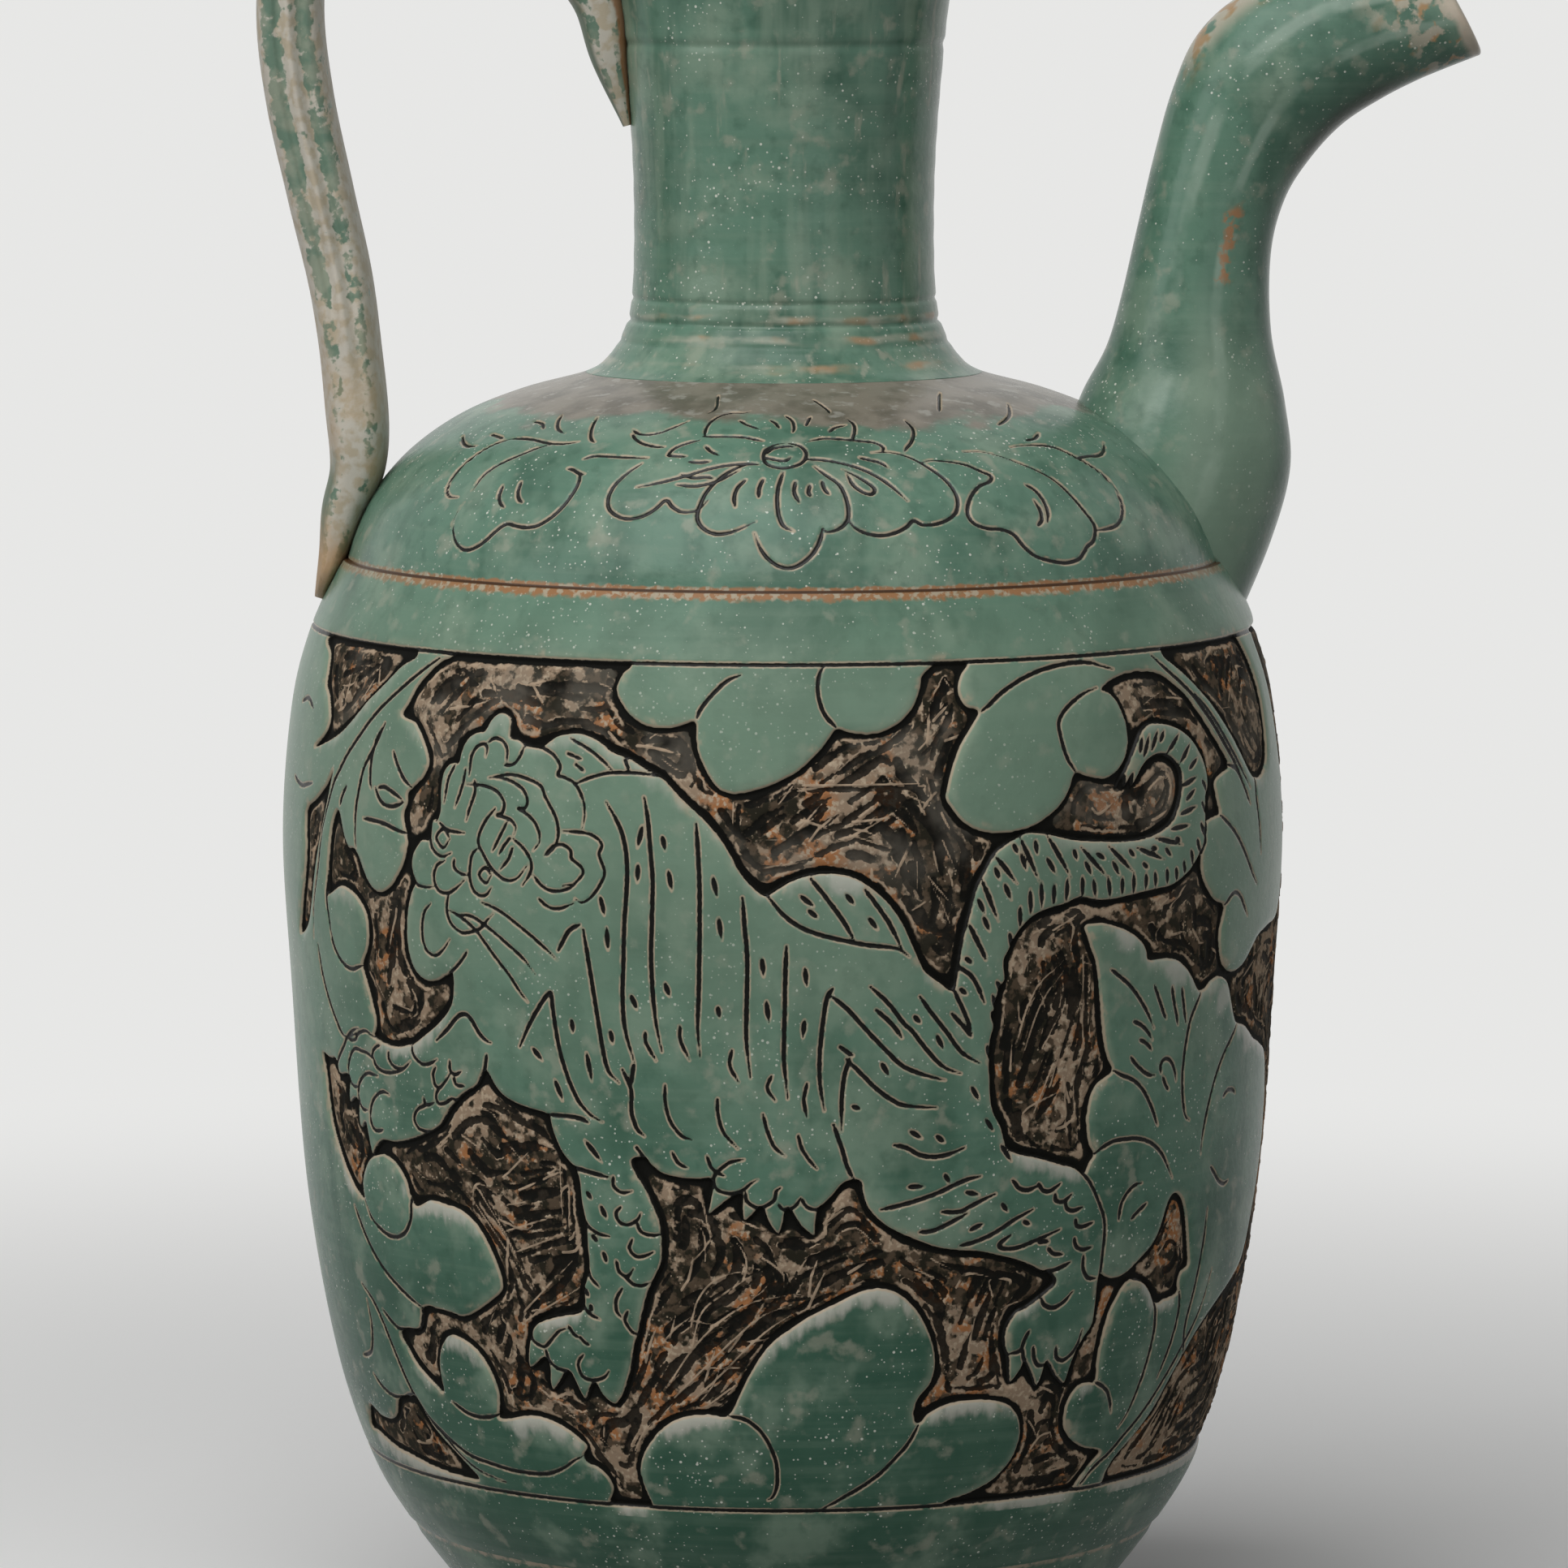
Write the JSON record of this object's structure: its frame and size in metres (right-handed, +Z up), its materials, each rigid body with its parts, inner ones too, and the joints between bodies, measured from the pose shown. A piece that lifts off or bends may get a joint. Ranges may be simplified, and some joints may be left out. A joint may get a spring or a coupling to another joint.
{
  "type": "long-handled ewer",
  "caption": "Green-glazed stoneware ewer with a carved barrel belly, tall neck, long strap handle and S-curved spout, for holding and pouring wine or tea.",
  "frame": {"origin": "middle of the foot ring on the standing plane, on the pot's turning axis", "axes": "+Z up along the turning axis, +X towards the spout, -X towards the handle"},
  "size_m": [0.2058, 0.1702, 0.3186],
  "materials": {
    "green_glaze": "glossy mid green celadon glaze",
    "worn_glaze": "green glaze worn to cream slip",
    "bare_clay": "unglazed brown stoneware"
  },
  "bodies": {
    "root": {"foot_ring": "bare_clay", "floor_slab": "bare_clay", "belly": "green_glaze", "shoulder": "green_glaze", "neck": "green_glaze", "mouth": "green_glaze", "spout": "green_glaze", "handle": "worn_glaze"}
  },
  "joints": []
}
